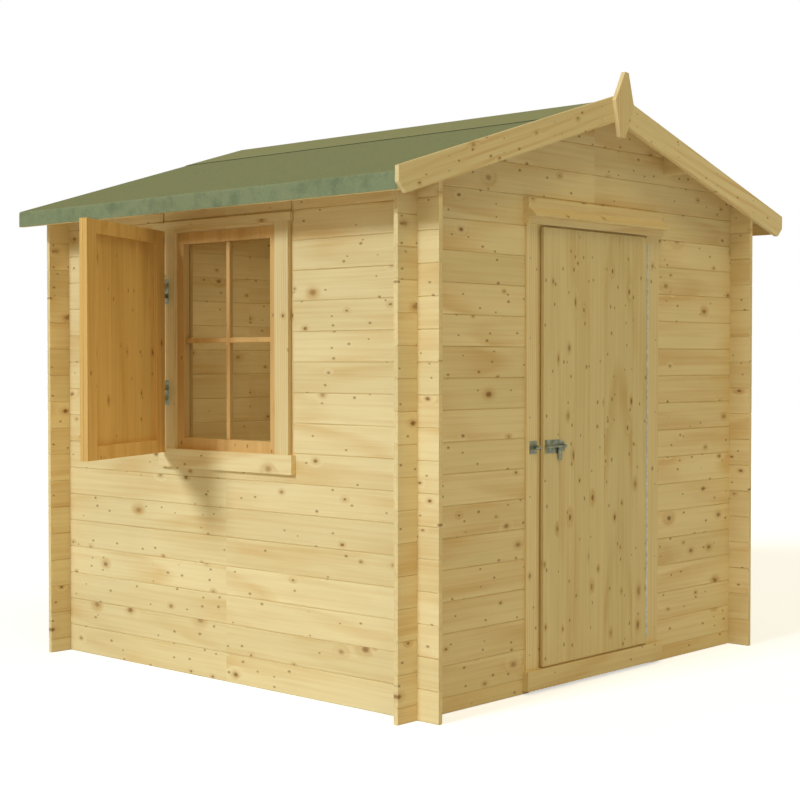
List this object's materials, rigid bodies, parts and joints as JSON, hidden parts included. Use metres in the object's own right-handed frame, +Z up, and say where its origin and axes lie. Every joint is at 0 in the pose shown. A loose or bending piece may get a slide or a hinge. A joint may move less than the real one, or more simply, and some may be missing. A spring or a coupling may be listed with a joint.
{
  "type": "log cabin",
  "caption": "Small gable-roofed cabin of interlocking machined logs with a boarded door, a sliding bolt, a barred window and a hinged shutter.",
  "frame": {"origin": "on the ground at the middle of the plan over the wall logs' outer faces, under the middle floor bearer", "axes": "+Z up; the front wall with the door faces -Y; the wall with the window and shutter faces -X"},
  "size_m": [2.9582, 2.288, 2.3857],
  "materials": {
    "pine_logs": "planed, untreated",
    "pine_boards": "planed, untreated",
    "roofing_felt": "mineral felt, matt",
    "pine_trim": "planed, untreated",
    "window_pine": "planed, warmer tone",
    "door_pine": "planed, untreated",
    "shutter_pine": "planed, untreated",
    "zinc_steel": "zinc plated",
    "window_glass": "clear"
  },
  "bodies": {
    "cabin": {"left_wall_lower": "pine_logs", "left_wall_front": "pine_logs", "left_wall_back": "pine_logs", "left_wall_header": "pine_logs", "right_wall": "pine_logs", "back_wall": "pine_logs", "back_gable": "pine_logs", "front_wall_left": "pine_logs", "front_wall_right": "pine_logs", "front_gable": "pine_logs", "floor_bearers": "pine_boards", "floor_boards": "pine_boards", "purlins": "pine_boards", "roof_boards_left": "pine_boards", "roof_boards_right": "pine_boards", "eaves_battens": "pine_boards", "felt_left": "roofing_felt", "felt_right": "roofing_felt", "ridge_strip": "roofing_felt", "bargeboard_left": "pine_trim", "bargeboard_right": "pine_trim", "finial": "pine_trim", "door_jambs": "pine_trim", "door_head_rail": "pine_trim", "door_trims": "pine_trim", "door_head_board": "pine_trim", "drip_moulding": "pine_trim", "threshold": "pine_trim", "window_posts": "pine_trim", "window_trims": "pine_trim", "window_head_trim": "pine_trim", "window_sill_trim": "pine_trim", "window_frame": "window_pine", "door_hinge_fixed": "zinc_steel", "bolt_keep": "zinc_steel", "shutter_hinges_fixed": "zinc_steel", "window_glass": "window_glass"},
    "door": {"door_leaf": "door_pine", "door_ledges": "door_pine", "door_hinge_moving": "zinc_steel", "bolt_body": "zinc_steel"},
    "bolt": {"bolt_rod": "zinc_steel"},
    "shutter": {"shutter_boards": "shutter_pine", "shutter_frame": "shutter_pine", "shutter_hinges_moving": "zinc_steel"}
  },
  "joints": [
    {"name": "door_hinge", "type": "hinge", "parent": "cabin", "child": "door", "pos_m": [0.3525, -1.042, 0.9295], "axis": [0, 0, 1], "range_deg": [0, 165]},
    {"name": "bolt_slide", "type": "slide", "parent": "door", "child": "bolt", "axis": [-1, 0, 0], "range_m": [0, 0.035]},
    {"name": "shutter_hinge", "type": "hinge", "parent": "cabin", "child": "shutter", "pos_m": [-1.088, 0.313, 1.336], "axis": [0, 0, 1], "range_deg": [-55, 65]}
  ]
}
